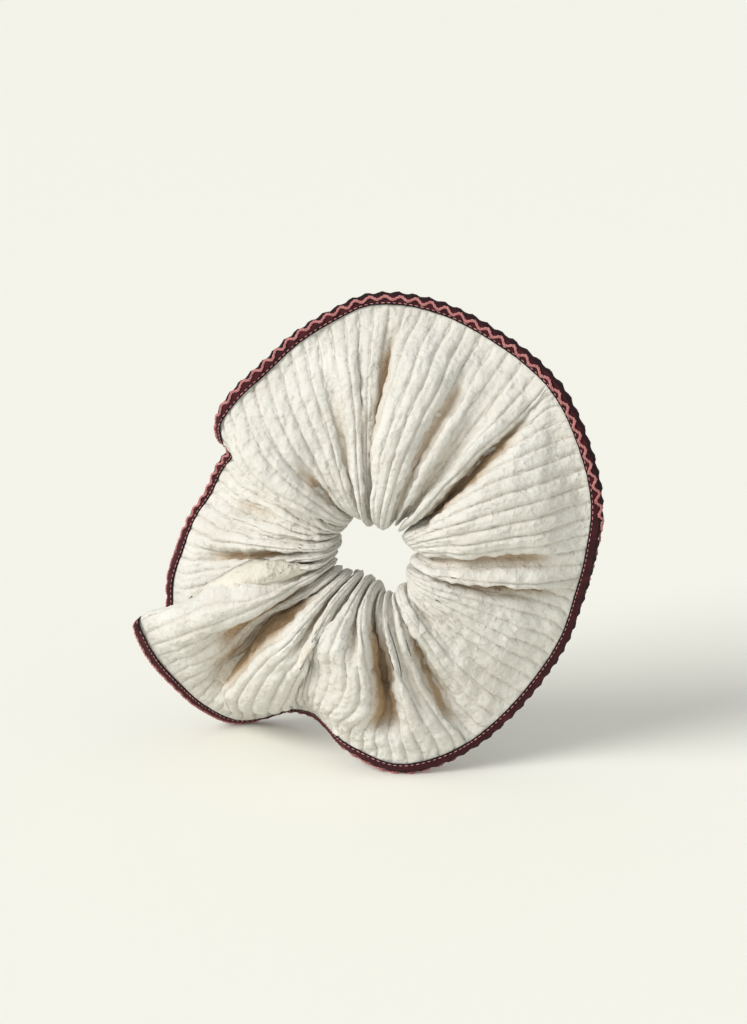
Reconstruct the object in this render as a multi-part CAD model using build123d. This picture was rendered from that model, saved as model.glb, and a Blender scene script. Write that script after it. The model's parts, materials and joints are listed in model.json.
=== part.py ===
from build123d import *
import math
import os

# A large quilted cotton scrunchie, in millimetres. It stands on its rim: +Z is up, the front
# of the ring faces -Y and the hair hole runs along Y. The origin is the middle of the footprint.
# The gathered tube of cloth is split at the middle plane into a left and a right half, which
# the elastic lets slide apart along X.

# ---- hair hole and elastic
HOLE_RADIUS = 15.0
HOLE_WALL = 8.0           # straight part of the hole's wall, along Y
HOLE_STOCK = 0.5          # left inside the cover's hole wall, then bored out round
HOLE_LIP = 0.4            # flat ring round each mouth of the hole
ELASTIC_RADIUS = 21.0     # middle of the band
ELASTIC_WIDTH = 6.0
ELASTIC_THICKNESS = 1.2
ELASTIC_OVERLAP = 12.0    # the band's two ends lie on each other for this length
STITCH = 0.4              # thread thickness

# ---- cloth layers, outside to inside
COVER = 0.6
WADDING = 1.6
LINING = 0.4
LAYER_GAP = 0.02          # keeps the layers' faces apart
TRIM_GAP = 0.1            # keeps the trim clear of the binding

# ---- the edge, pressed flat and bound
EDGE_DEPTH = 5.0          # how far in the quilt is pressed flat
EDGE_HALF = 1.7           # half the thickness at the very edge
EDGE_FLARE = 0.3          # how much thicker each side is where the flat part ends
BINDING_DEPTH = 4.6
BINDING_THICKNESS = 0.8
BINDING_GAP = 0.15
BRAID_WIDTH = 1.8
BRAID_THICKNESS = 0.8
BRAID_INSET = 1.2         # from the edge to the braid's outer side
THREAD_INSET = 4.0        # from the edge to the binding's seam

HALF_GAP = 0.15           # each half stops this far from the middle plane

# ---- the standing outline: angle from +X, radius from the hole, depth (+ is to the back)
RIM = {
    -90: (81.5, -2), -75: (83.5, 0), -60: (80.5, 7), -45: (78.0, 11), -30: (76.5, 11),
    -15: (76.5, 9), 0: (79.5, 5), 15: (84.5, 2), 30: (88.8, 1), 45: (92.8, 2),
    60: (93.0, 5), 75: (94.4, 5), 90: (94.5, 2), 105: (87.0, -4), 120: (79.5, -8),
    135: (76.0, -10), 150: (68.0, 5), 165: (70.5, 14), 180: (79.0, 16), 195: (91.5, 4),
    210: (101.5, 5), 225: (105.5, 24), 240: (95.0, 36), 255: (77.5, 12), 270: (81.5, -2),
}
# the puffed profile: share of the way from hole to pressed edge, half thickness
PUFF = [(0.06, 8.5), (0.2, 14.0), (0.45, 12.5), (0.75, 6.5)]
SWEEP_POWER = 1.5         # how late, going outwards, the cloth leaves the middle plane

HALVES = {
    "right": sorted(angle for angle in RIM if angle <= 90),
    "left": sorted(angle for angle in RIM if angle >= 90),
}
NODES = {}


def radial_plane(side, angle):
    """A plane along the hole's axis: local x runs outwards, local y runs to the back.

    The first and last plane of a half stand upright, just short of the middle plane."""
    turn = math.radians(angle)
    outwards = (math.cos(turn), 0, math.sin(turn))
    upright = angle in (HALVES[side][0], HALVES[side][-1])
    shift = HALF_GAP * (1 if side == "right" else -1) if upright else 0
    return Plane(origin=(shift, 0, 0), x_dir=outwards, z_dir=(-outwards[2], 0, outwards[0]))


def depth_at(angle, radius):
    """Depth of the cloth's middle surface; a straight line over the pressed edge."""
    rim_radius, rim_depth = RIM[angle]
    span = rim_radius - HOLE_RADIUS
    slope = SWEEP_POWER * rim_depth / span
    if radius >= rim_radius - EDGE_DEPTH:
        return rim_depth - slope * (rim_radius - radius)
    return rim_depth * (max(radius - HOLE_RADIUS, 0) / span) ** SWEEP_POWER


def edge_half(angle, radius):
    """Half the quilt's thickness in the pressed edge."""
    return EDGE_HALF + EDGE_FLARE * (RIM[angle][0] - radius) / EDGE_DEPTH


def tube_section(angle, inset, stock=0.0):
    """The tube's closed outline in a radial plane, moved in by inset.

    Stock is extra cloth on the hole's wall."""
    rim_radius = RIM[angle][0]
    flat_start = rim_radius - EDGE_DEPTH
    pressed_inset = inset * EDGE_HALF / (COVER + WADDING + LINING + 1)
    sides = []
    for side in (-1, 1):
        points = [(HOLE_RADIUS + HOLE_LIP + inset, side * (HOLE_WALL / 2 - inset / 4))]
        for share, half in PUFF:
            radius = HOLE_RADIUS + inset + share * (flat_start - HOLE_RADIUS - inset)
            points.append((radius, depth_at(angle, radius) + side * (half - inset)))
        for radius in (flat_start, rim_radius - pressed_inset):
            half = edge_half(angle, radius) - pressed_inset
            points.append((radius, depth_at(angle, radius) + side * half))
        sides.append(points)
    front, back = sides
    last = Vector(*front[-1]) - Vector(*front[-2])
    last_back = Vector(*back[-1]) - Vector(*back[-2])
    inner_front = (front[0][0] - HOLE_LIP - stock, front[0][1])
    inner_back = (back[0][0] - HOLE_LIP - stock, back[0][1])
    edges = [
        Line(back[0], inner_back),
        Line(inner_back, inner_front),
        Line(inner_front, front[0]),
        Spline(front[:-1], tangents=[(0.3, -1), last.normalized()], tangent_scalars=[0.5, 1]),
        Line(front[-2], front[-1]),
        Line(front[-1], back[-1]),
        Line(back[-1], back[-2]),
        Spline(back[:-1], tangents=[(0.3, 1), last_back.normalized()], tangent_scalars=[0.5, 1]),
    ]
    return make_face(edges)


def half_loft(side, section):
    """Loft one half through its radial sections."""
    return loft([radial_plane(side, angle) * section(angle) for angle in HALVES[side]])


def tube_layer(side, outer, inner, stock=0.0):
    """One cloth layer of the tube: everything between two insets."""
    solid = half_loft(side, lambda angle: tube_section(angle, outer, stock))
    hollow = half_loft(side, lambda angle: tube_section(angle, inner))
    return solid - hollow


def make_cover(side):
    """The outer cloth, with the hair hole bored round through it."""
    cloth = tube_layer(side, 0.0, COVER, HOLE_STOCK)
    return cloth - Rot(90, 0, 0) * Cylinder(HOLE_RADIUS, 4 * HOLE_RADIUS)


def edge_band(angle, points):
    """A straight-sided outline given as (distance in from the edge, depth from the middle)."""
    rim_radius = RIM[angle][0]
    corners = []
    for inset, offset in points:
        radius = rim_radius - inset
        corners.append((radius, depth_at(angle, radius) + offset))
    return make_face(Polyline(*corners, close=True))


def binding_section(angle):
    """A folded tape that wraps the pressed edge from front to back."""
    near = EDGE_HALF + BINDING_GAP
    deep = near + EDGE_FLARE * BINDING_DEPTH / EDGE_DEPTH
    thick = BINDING_THICKNESS
    return edge_band(angle, [
        (BINDING_DEPTH, deep), (BINDING_DEPTH, deep + thick),
        (-BINDING_GAP - thick, near + thick), (-BINDING_GAP - thick, -near - thick),
        (BINDING_DEPTH, -deep - thick), (BINDING_DEPTH, -deep),
        (-BINDING_GAP, -near), (-BINDING_GAP, near),
    ])


def front_strip(angle, inset, width, height):
    """A flat strip lying on the front of the binding."""
    corners = []
    for distance, lift in ((inset, 0), (inset + width, 0), (inset + width, height), (inset, height)):
        surface = EDGE_HALF + BINDING_GAP + BINDING_THICKNESS + EDGE_FLARE * distance / EDGE_DEPTH
        corners.append((distance, -(surface + TRIM_GAP + lift)))
    return edge_band(angle, corners)


def ring(radius, thickness, width):
    """A flat band round the Y axis."""
    outer = Cylinder(radius + thickness / 2, width)
    inner = Cylinder(radius - thickness / 2, width * 2)
    return Rot(90, 0, 0) * (outer - inner)


def ring_piece(band, middle_angle, length, radius):
    """The part of a band over an arc length, centred on an angle from +X."""
    turn = math.degrees(length / radius)
    wedge = Rot(90, 0, 0) * extrude(make_face([
        Line((0, 0), (2 * radius, 0)),
        CenterArc((0, 0), 2 * radius, 0, turn),
        Line((2 * radius * math.cos(math.radians(turn)), 2 * radius * math.sin(math.radians(turn))),
             (0, 0)),
    ]), ELASTIC_WIDTH, both=True)
    return band & (Rot(0, -(middle_angle - turn / 2), 0) * wedge)


def make_halves():
    """All the pieces that come as a left and a right half."""
    quilt = COVER + WADDING
    for side in HALVES:
        NODES[f"cover_{side}"] = make_cover(side)
        NODES[f"wadding_{side}"] = tube_layer(side, COVER + LAYER_GAP, quilt)
        NODES[f"lining_{side}"] = tube_layer(side, quilt + LAYER_GAP, quilt + LINING)
        NODES[f"edge_binding_{side}"] = half_loft(side, binding_section)
        NODES[f"wavy_braid_{side}"] = half_loft(
            side, lambda angle: front_strip(angle, BRAID_INSET, BRAID_WIDTH, BRAID_THICKNESS))
        NODES[f"binding_thread_{side}"] = half_loft(
            side, lambda angle: front_strip(angle, THREAD_INSET, STITCH, STITCH))


def make_elastic():
    """The braided band, the lap where its ends meet and the bars of thread that hold the lap."""
    NODES["elastic_band"] = ring(ELASTIC_RADIUS, ELASTIC_THICKNESS, ELASTIC_WIDTH)
    lap_radius = ELASTIC_RADIUS + ELASTIC_THICKNESS + LAYER_GAP
    lap_band = ring(lap_radius, ELASTIC_THICKNESS, ELASTIC_WIDTH)
    NODES["elastic_lap"] = ring_piece(lap_band, 180, ELASTIC_OVERLAP, lap_radius)
    thread_radius = lap_radius + ELASTIC_THICKNESS / 2 + LAYER_GAP + STITCH / 2
    thread_band = ring(thread_radius, STITCH, ELASTIC_WIDTH - 1)
    bar_step = math.degrees(ELASTIC_OVERLAP / 5 / thread_radius)
    bars = [ring_piece(thread_band, 180 + bar_step * (i - 1.5), STITCH, thread_radius)
            for i in range(4)]
    NODES["elastic_lap_stitches"] = Compound(children=bars)


def main():
    make_halves()
    make_elastic()
    low = Vector(1e6, 1e6, 1e6)
    high = Vector(-1e6, -1e6, -1e6)
    for shape in NODES.values():
        box = shape.bounding_box()
        low = Vector(min(low.X, box.min.X), min(low.Y, box.min.Y), min(low.Z, box.min.Z))
        high = Vector(max(high.X, box.max.X), max(high.Y, box.max.Y), max(high.Z, box.max.Z))
    hole = Vector(-(low.X + high.X) / 2, -(low.Y + high.Y) / 2, -low.Z)
    print("hair hole centre, mm:", [round(v, 4) for v in hole])
    print("size, mm:", [round(v, 2) for v in high - low])
    os.makedirs("parts", exist_ok=True)
    for name, shape in NODES.items():
        export_step(Pos(hole) * shape, f"parts/{name}.step")


main()
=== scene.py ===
# %% [markdown]
# # A quilted scrunchie with a bound, wavy edge
# The real thing is one strip of channel-quilted cotton, folded lengthways round an elastic.
# Pulled tight by the elastic, the strip gathers into a ring that stands on its own edge.
# The CAD model gives the frame: its size, the hair hole and the two halves that slide apart.

# %% Load the frame
import json
import math
import bmesh
import bpy
import numpy as np
from mathutils import Matrix, Vector


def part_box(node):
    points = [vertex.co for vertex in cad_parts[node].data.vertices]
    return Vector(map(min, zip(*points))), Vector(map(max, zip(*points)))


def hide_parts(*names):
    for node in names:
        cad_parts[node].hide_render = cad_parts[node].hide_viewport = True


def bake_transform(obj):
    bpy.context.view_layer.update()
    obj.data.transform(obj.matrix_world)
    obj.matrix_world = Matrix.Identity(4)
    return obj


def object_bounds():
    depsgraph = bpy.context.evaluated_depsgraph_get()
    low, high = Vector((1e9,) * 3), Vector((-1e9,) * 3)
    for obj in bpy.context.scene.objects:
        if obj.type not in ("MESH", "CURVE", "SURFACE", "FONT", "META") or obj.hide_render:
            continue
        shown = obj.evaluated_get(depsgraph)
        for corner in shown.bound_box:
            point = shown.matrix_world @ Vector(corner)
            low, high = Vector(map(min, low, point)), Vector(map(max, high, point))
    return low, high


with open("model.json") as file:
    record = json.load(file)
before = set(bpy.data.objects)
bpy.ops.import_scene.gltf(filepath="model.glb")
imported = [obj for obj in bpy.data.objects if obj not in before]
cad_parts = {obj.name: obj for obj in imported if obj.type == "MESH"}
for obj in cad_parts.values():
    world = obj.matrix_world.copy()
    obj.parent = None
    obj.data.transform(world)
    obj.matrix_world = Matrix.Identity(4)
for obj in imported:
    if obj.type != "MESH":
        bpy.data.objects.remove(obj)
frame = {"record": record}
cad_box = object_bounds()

MM = 0.001
hair_hole = next(m for m in frame["record"]["mounts"] if m["name"] == "hair_hole")
HOLE = np.array(hair_hole["pos_m"])
FLOOR_HEIGHT = cad_box[0][2]
print("hair hole at", HOLE, "box", [list(corner) for corner in cad_box])

# %% [markdown]
# ## Camera
# A product shot from a little above and a little to the right, with a long lens so that the
# ring isn't distorted. The camera is aimed just above the hair hole, so the ring sits a little
# low in the view, with pale space over it.

# %% Camera
VIEW_AZIMUTH = math.radians(14)
VIEW_ELEVATION = math.radians(15)
LENS = 75.0
SENSOR = 36.0
VIEW_HEIGHT = 0.375          # metres of height that the view takes in at the hair hole
AIM_RIGHT, AIM_UP = -0.0005, 0.015


def new_object(name, data):
    thing = bpy.data.objects.new(name, data)
    bpy.context.collection.objects.link(thing)
    return thing


to_camera = Vector((math.sin(VIEW_AZIMUTH) * math.cos(VIEW_ELEVATION),
                    -math.cos(VIEW_AZIMUTH) * math.cos(VIEW_ELEVATION),
                    math.sin(VIEW_ELEVATION)))
view_right = Vector((math.cos(VIEW_AZIMUTH), math.sin(VIEW_AZIMUTH), 0))
view_up = to_camera.cross(view_right)
lens_data = bpy.data.cameras.new("product_camera")
lens_data.lens = LENS
lens_data.sensor_width = SENSOR
camera = new_object("product_camera", lens_data)
aim = Vector(HOLE) + view_right * AIM_RIGHT + view_up * AIM_UP
place = aim + to_camera * (VIEW_HEIGHT * LENS / SENSOR)
turn = Matrix((view_right, view_up, to_camera)).transposed().to_4x4()
camera.matrix_world = Matrix.Translation(place) @ turn
bpy.context.scene.camera = camera
print("camera at", [round(v, 3) for v in place])

# %% [markdown]
# ## Floor and light
# A wide pale floor runs back beyond the top of the view, so there is no horizon. Soft light
# from high on the left models the folds and throws the shadow to the right; the pale surround
# fills the rest.

# %% Floor and light
def plain_material(name, colour, roughness):
    material = bpy.data.materials.new(name)
    material.use_nodes = True
    shader = material.node_tree.nodes["Principled BSDF"]
    shader.inputs["Base Color"].default_value = (*colour, 1)
    shader.inputs["Roughness"].default_value = roughness
    return material


FLOOR_HALF = 30.0            # metres; the far edge lies beyond the top of the view
PAPER_COLOUR = (0.955, 0.955, 0.882)
SURROUND_COLOUR, SURROUND_STRENGTH = (1.0, 1.0, 0.99, 1), 0.545
floor_mesh = bpy.data.meshes.new("pale_floor")
floor_corners = [(FLOOR_HALF * x, FLOOR_HALF * y, FLOOR_HEIGHT)
                 for x, y in ((-1, -1), (1, -1), (1, 1), (-1, 1))]
floor_mesh.from_pydata(floor_corners, [], [(0, 1, 2, 3)])
floor = new_object("pale_floor", floor_mesh)
floor_mesh.materials.append(plain_material("pale_paper", PAPER_COLOUR, 1.0))

world = bpy.data.worlds.new("pale_surround")
bpy.context.scene.world = world
world.use_nodes = True
surround = world.node_tree.nodes["Background"].inputs
surround["Color"].default_value = SURROUND_COLOUR
surround["Strength"].default_value = SURROUND_STRENGTH


def soft_sun(name, place, spread, strength, colour):
    """Even light from one side; the spread in degrees softens its shadows."""
    lamp = bpy.data.lights.new(name, "SUN")
    lamp.angle = math.radians(spread)
    lamp.energy = strength
    lamp.color = colour
    holder = new_object(name, lamp)
    holder.rotation_euler = (-Vector(place)).to_track_quat("-Z", "Y").to_euler()


soft_sun("window_light", place=(-0.66, -0.74, 0.68), spread=32, strength=2.27,
         colour=(1.0, 0.99, 0.965))
bpy.context.scene.view_settings.view_transform = "Standard"

# %% [markdown]
# ## The standing outline
# The outer edge is a closed wavy line. Each point is an angle round the hole, a distance from
# it, a depth (plus is to the back) and the angle at which the same thread meets the hole.
# Where the depth jumps and the angle runs back, the edge folds over itself in a flap.

# %% The outer edge
EDGE = [
    (-98.6, 77.0, 0, -103), (-83, 83.2, -3, -85), (-70.4, 83.2, 2, -66), (-62, 81.8, 6, -51),
    (-52.4, 79.5, 10, -43), (-37.8, 76.9, 12, -34), (-24, 76.4, 10, -27), (-10.8, 76.5, 8, -18),
    (0, 79.0, 5, 3), (6.8, 81.3, 3, 12), (14.2, 84.6, 2, 17), (30.9, 89.3, 1, 25),
    (45.4, 93.2, 2, 32), (54, 93.2, 4, 46), (62.1, 93.2, 5, 56), (76.5, 94.7, 5, 63),
    (85, 95.2, 3, 70), (92, 94.3, 1, 98), (100.1, 89.8, -2, 106), (110, 84.8, -5, 113),
    (120, 79.8, -8, 120), (129, 77.8, -10, 126), (136.1, 76.0, -11, 131), (143.5, 71.5, -4, 134),
    (148, 66.6, 6, 138), (157, 68.4, 12, 147), (167.3, 70.4, 15, 156), (176, 75.8, 17, 164),
    (185.3, 81.3, 18, 171), (195.2, 88.7, 17, 177), (202, 90.5, 12, 180), (203.5, 95.0, 3, 183),
    (199.1, 97.4, -5, 187), (203.5, 98.9, -3, 192), (209.1, 101.1, 3, 198), (215.8, 102.4, 10, 206),
    (224.5, 105.4, 22, 216), (232, 104.4, 32, 225), (236.1, 98.2, 36, 230), (239.8, 89.4, 35, 234),
    (247, 81.5, 27, 241), (254, 77.5, 13, 248),
]


def cyclic(at, knots, values, period):
    """A smooth closed curve through the values, for numpy arrays."""
    knots = np.concatenate([knots - period, knots, knots + period])
    values = np.tile(values, 3)
    gaps = np.diff(knots)
    rises = np.diff(values) / gaps
    slopes = np.zeros_like(values)
    slopes[1:-1] = (rises[:-1] * gaps[1:] + rises[1:] * gaps[:-1]) / (gaps[:-1] + gaps[1:])
    first = knots[len(knots) // 3]
    at = np.mod(at - first, period) + first
    i = np.clip(np.searchsorted(knots, at, side="right") - 1, 0, len(gaps) - 1)
    t = (at - knots[i]) / gaps[i]
    ease = t * t * (3 - 2 * t)
    return (values[i] * (1 - ease) + values[i + 1] * ease
            + gaps[i] * (slopes[i] * t * (1 - t) ** 2 - slopes[i + 1] * t * t * (1 - t)))


def smooth(low, high, value):
    t = np.clip((value - low) / (high - low), 0, 1)
    return t * t * (3 - 2 * t)


def unit(vectors):
    return vectors / (np.linalg.norm(vectors, axis=-1, keepdims=True) + 1e-12)


def running(steps):
    """A running total that starts at 0."""
    return np.concatenate([[0], np.cumsum(steps)])


def ring_gaps(points):
    """The distance from each point of a closed ring to the next."""
    return np.linalg.norm(np.roll(points, -1, 0) - points, axis=1)


def points_at(at, marks, points):
    """Points read off a marked line; one mark more than there are points closes it to a ring."""
    if len(marks) > len(points):
        points = np.concatenate([points, points[:1]])
    return np.stack([np.interp(at, marks, points[:, axis]) for axis in range(3)], -1)


def even_out(field, width):
    """A running mean round a closed row; the width is counted in points."""
    window = np.hanning(width)
    window /= window.sum()
    padded = np.concatenate([field[-width:], field, field[:width]])
    return np.stack([np.convolve(padded[:, axis], window, "same")[width:-width]
                     for axis in range(field.shape[1])], -1)


EDGE_STEPS = 2400
table = np.array(EDGE, float)
radians = np.radians(table[:, 0])
stations = np.stack([table[:, 1] * np.cos(radians), table[:, 2], table[:, 1] * np.sin(radians)], -1)
spans = ring_gaps(stations)
knots = running(spans)[:-1]
period = spans.sum()
walk = np.arange(EDGE_STEPS) / EDGE_STEPS * period
edge_line = np.stack([cyclic(walk, knots, stations[:, axis], period) for axis in range(3)], -1)
walked = running(ring_gaps(edge_line))
share = np.arange(EDGE_STEPS) / EDGE_STEPS
edge_line = points_at(share * walked[-1], walked, edge_line)
walk = np.interp(share * walked[-1], walked, np.append(walk, period))
turns = 360 * walk / period
hole_angle = np.maximum.accumulate(
    cyclic(walk, knots, table[:, 3] - 360 * knots / period, period) + turns)
print("edge length, mm:", round(walked[-1], 1))

# %% [markdown]
# ## The puffed tube
# Before it is pleated, the cloth is a smooth tube: from the back edge, round through the hole
# and out to the front edge. One short list gives its section: how far out it is (0 at the hole,
# 1 at the edge) and half its thickness there.

# %% The smooth tube
CHANNEL = 6.3                # width of a sewn channel, mm
CLOTH_SLACK = 0.05           # the cloth is this much longer than its edge line
CLOTH_HALF_WIDTH = 75.0      # from the hole's fold to the edge, mm
CHANNEL_COLUMNS = 8          # mesh columns in a channel
HALF_ROWS = 50               # mesh rows from the hole to one edge
HOLE_RADIUS = 15.0           # of the hair hole, mm
RING_RADIUS = 15.3           # of the gathered fold round the hole
SECTION = np.array([
    (0, 0, 0), (0.05, 0.010, 3.9), (0.12, 0.05, 8.2), (0.2, 0.125, 11.0), (0.35, 0.285, 13.0),
    (0.55, 0.52, 11.6), (0.75, 0.75, 7.6), (0.9, 0.905, 2.9), (1, 1, 1.5),
])
channels = round(walked[-1] * (1 + CLOTH_SLACK) / CHANNEL)
cloth_length = channels * CHANNEL
columns = channels * CHANNEL_COLUMNS
across = np.linspace(-1, 1, 2 * HALF_ROWS + 1)     # -1 back edge, 0 hole, 1 front edge
outwards = np.interp(np.abs(across), SECTION[:, 0], SECTION[:, 1])
half_thick = np.interp(np.abs(across), SECTION[:, 0], SECTION[:, 2]) * np.sign(across)
for _ in range(3):                                   # round off the section's corners
    outwards[1:-1] = (outwards[:-2] + 2 * outwards[1:-1] + outwards[2:]) / 4
    half_thick[1:-1] = (half_thick[:-2] + 2 * half_thick[1:-1] + half_thick[2:]) / 4

hole_radians = np.radians(hole_angle)
hole_line = RING_RADIUS * np.stack([np.cos(hole_radians), 0 * hole_radians,
                                    np.sin(hole_radians)], -1)
reach = outwards[:, None, None]
middle = hole_line[None] * (1 - reach) + edge_line[None] * reach
middle[:, :, 1] = edge_line[None, :, 1] * outwards[:, None] ** 1.5
edge_way = unit(np.roll(edge_line, -4, 0) - np.roll(edge_line, 4, 0))
edge_side = unit(np.cross(edge_way, unit(edge_line - hole_line)))
edge_side *= -np.sign(edge_side[:, 1].mean())
near_edge = smooth(0.72, 1.0, np.abs(across))[:, None, None]
side_way = unit((1 - near_edge) * np.array([0, -1.0, 0]) + near_edge * edge_side[None])
tube = middle + side_way * half_thick[:, None, None]


def grid_normals(grid, spread):
    """Outward normals of a rows-by-columns tube, closed along the columns."""
    along = np.roll(grid, -spread, 1) - np.roll(grid, spread, 1)
    normals = unit(np.cross(along, np.gradient(grid, axis=0)))
    front = normals[3 * len(grid) // 4, :, 1].mean()
    return normals * (-1 if front > 0 else 1)


tube_normals = grid_normals(tube, 3)
print("channels:", channels, "cloth, mm:", cloth_length, "columns:", columns)

# %% [markdown]
# ## The folds
# The cloth is nearly seven times as long as the hole is round, so it has to fold. Each fold below
# starts at the hole and runs outwards: hole angle, how far it reaches (mm from the hole), its
# share of the spare cloth, how far it leans over, the steepness of its walls, and which side it
# swallows cloth from (0 is both). Folds fall on seams, as they do on quilted cloth.

# %% The list of folds
FOLDS = [
    (-52, 97, 1.0, -12, 78, 0), (-38, 52, 0.5, 0, 62, 0), (-18, 90, 0.9, 0, 68, 0),
    (-6, 32, 0.3, 0, 45, 0), (6, 90, 0.9, 0, 68, 0), (33, 99, 1.9, 16, 80, -0.9),
    (43, 95, 0.6, 0, 66, 0), (50, 92, 0.6, 0, 66, 0), (57, 93, 0.6, 0, 64, 0),
    (67, 93, 1.0, 8, 78, 0), (76, 70, 0.5, 0, 62, 0), (87, 98, 0.6, 0, 62, 0),
    (101, 93, 0.9, 0, 72, 0), (109, 82, 0.6, 0, 64, 0), (122, 46, 0.5, 0, 62, 0),
    (134, 94, 1.0, -18, 80, 0), (144, 64, 0.6, 0, 64, 0), (153, 82, 0.7, 0, 68, 0),
    (162, 60, 0.5, 0, 62, 0), (171, 78, 0.6, 0, 64, 0), (180, 98, 1.0, 8, 78, 0),
    (190, 44, 0.4, 0, 60, 0), (202, 70, 0.5, 0, 60, 0), (216, 99, 1.0, 20, 82, 0),
    (229, 44, 0.5, 0, 60, 0), (242, 40, 0.5, 0, 60, 0), (255, 38, 0.5, 0, 60, 0),
    (271, 68, 1.0, -10, 78, 0), (281, 46, 0.5, 0, 60, 0), (293, 66, 0.9, -4, 74, 0),
]
PANEL_ENDS = [-35, -8, 13, 52, 84, 117, 158, 198, 243, 286]     # hole angles where cloth and ring agree
# how far the cloth stands forward of the smooth tube: hole angle, mm
LIFT = [
    (-90, 1), (-70, 3), (-56, 5), (-49, -4), (-40, 0), (-26, -2), (-21, -5), (-15, 5), (-2, 3),
    (5, -1), (12, 3), (20, 4), (29, 3), (36, 0), (44, 4), (54, 3), (62, 2), (70, -4), (78, 2),
    (90, 1), (97, 1), (104, -2), (112, 0), (124, 3), (131, 7), (137, -4), (146, -1), (157, 1),
    (168, 0), (177, -5), (184, 6), (193, 7), (204, 1), (212, -6), (220, 8), (231, 10), (245, 8),
    (257, 6), (265, 2),
]
ROW_MARKS = [0, 0.06, 0.15, 0.3, 0.6, 0.8, 0.93, 1]
DEEPEST_FOLD = [3.0, 4.2, 6.5, 12.0, 12.5, 9.0, 3.5, 1.0]     # mm, at those rows
print(len(FOLDS), "folds")

# %% [markdown]
# ## Pleating
# Cloth bends easily but hardly stretches. So each row of the tube is laid out as a line of fixed
# length: it turns down into a fold, turns sharply at the bottom and comes up again. Between two
# panel middles, the folds take up exactly the cloth that the ring has no room for.

# %% Pleat the tube
LONG_SHARE, LONG_BEND = 0.12, 16       # part of a fold's bend that dies away slowly, over this many mm
STEEPEST = 2.15              # radians; past a right angle, so that a fold can overhang
FADE_SHARE = 0.62           # a fold fades out over this share of its reach
PRESSED = (0.68, 0.94)       # shares of the way out between which the folds are pressed flat
BACK_ROOM, FRONT_ROOM = 0.7, 1.05      # how much of the tube's half thickness a fold may sink into
HOLE_ROOM = 10.0             # mm that it may sink beside the hole
LIFT_SOFTENING = 13          # columns
AT, REACH, SHARE, LEAN, STEEPNESS, SIDE = range(6)     # the columns of the list of folds
folds = np.array(FOLDS, float)
wrapped_angle = np.concatenate([hole_angle - 360, hole_angle, hole_angle + 360])
wrapped_share = np.concatenate([share - 1, share, share + 1])
fold_at = np.round(np.interp(folds[:, AT], wrapped_angle, wrapped_share) * channels) / channels
order = np.argsort(fold_at)
folds, fold_at = folds[order], fold_at[order]
panel_at = np.round(np.interp(PANEL_ENDS, wrapped_angle, wrapped_share) * columns) / columns
panel_bounds = np.append(panel_at, panel_at[0] + 1)
seam_start = panel_bounds[0]
thread = seam_start + np.arange(columns) / columns     # each column's place along the strip
fold_at = np.mod(fold_at - seam_start, 1) + seam_start
rng = np.random.default_rng(11)
back_reach = rng.uniform(0.8, 1.1, len(folds))         # the back's folds differ a little
lift_table = np.array(LIFT, float)
thread_angle = np.interp(thread, wrapped_share, wrapped_angle)
lift = np.interp(thread_angle, np.concatenate([lift_table[:, 0] + 360 * k for k in (-1, 0, 1)]),
                 np.tile(lift_table[:, 1], 3))
lift = even_out(lift[:, None], LIFT_SOFTENING)[:, 0]


def fold_turn(offset, cloth, fold, openness, shoulder):
    """The cloth's slope angle beside one fold; offset is the distance from its bottom, mm."""
    distance = np.abs(offset)
    depth = max(cloth / 2 - 2.0, 0)
    beyond = np.maximum(distance - depth, 0)
    bend = np.where(distance < depth, 1, (1 - LONG_SHARE) * np.exp(-(beyond / shoulder) ** 2)
                    + LONG_SHARE * np.exp(-beyond / LONG_BEND))
    steep = np.radians(fold[STEEPNESS] + np.sign(offset) * fold[LEAN] * openness[1]) * openness[0]
    return np.sign(offset) * bend * np.tanh(distance) * steep


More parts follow.
